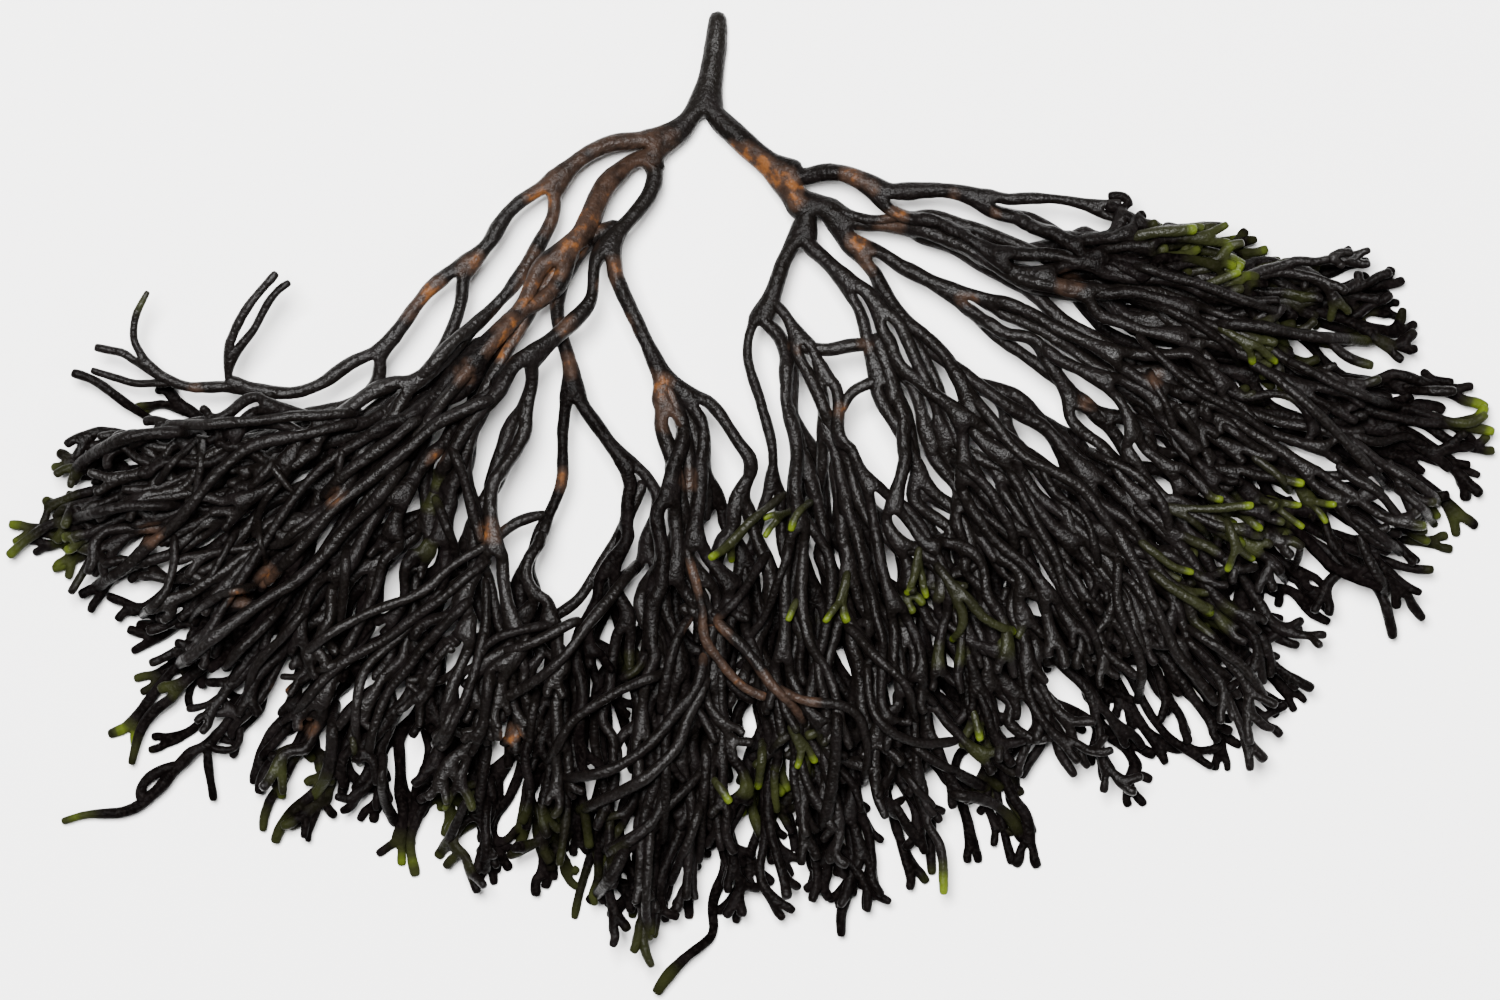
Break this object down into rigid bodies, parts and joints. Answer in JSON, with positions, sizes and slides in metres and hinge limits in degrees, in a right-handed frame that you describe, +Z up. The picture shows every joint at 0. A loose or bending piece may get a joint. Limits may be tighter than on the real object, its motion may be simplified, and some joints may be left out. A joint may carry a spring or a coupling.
{
  "type": "codium seaweed",
  "caption": "Dark branching seaweed laid flat: a short round stalk opens into a wide fan of forked, finger-like strands with blunt tips.",
  "frame": {"origin": "on the surface that the weed lies on, below the middle of its bounding box", "axes": "+Z up from the surface; +Y from the fan towards the stalk's cut end; +X across the fan's width, to the right as seen from above with the stalk at the top"},
  "size_m": [0.357, 0.2376, 0.0262],
  "materials": {
    "weed": "damp, felted, near-black algal tissue with a soft sheen, rusty patches on the limbs and olive to yellow-green tips"
  },
  "bodies": {
    "root": {"thallus": "weed"}
  },
  "joints": []
}
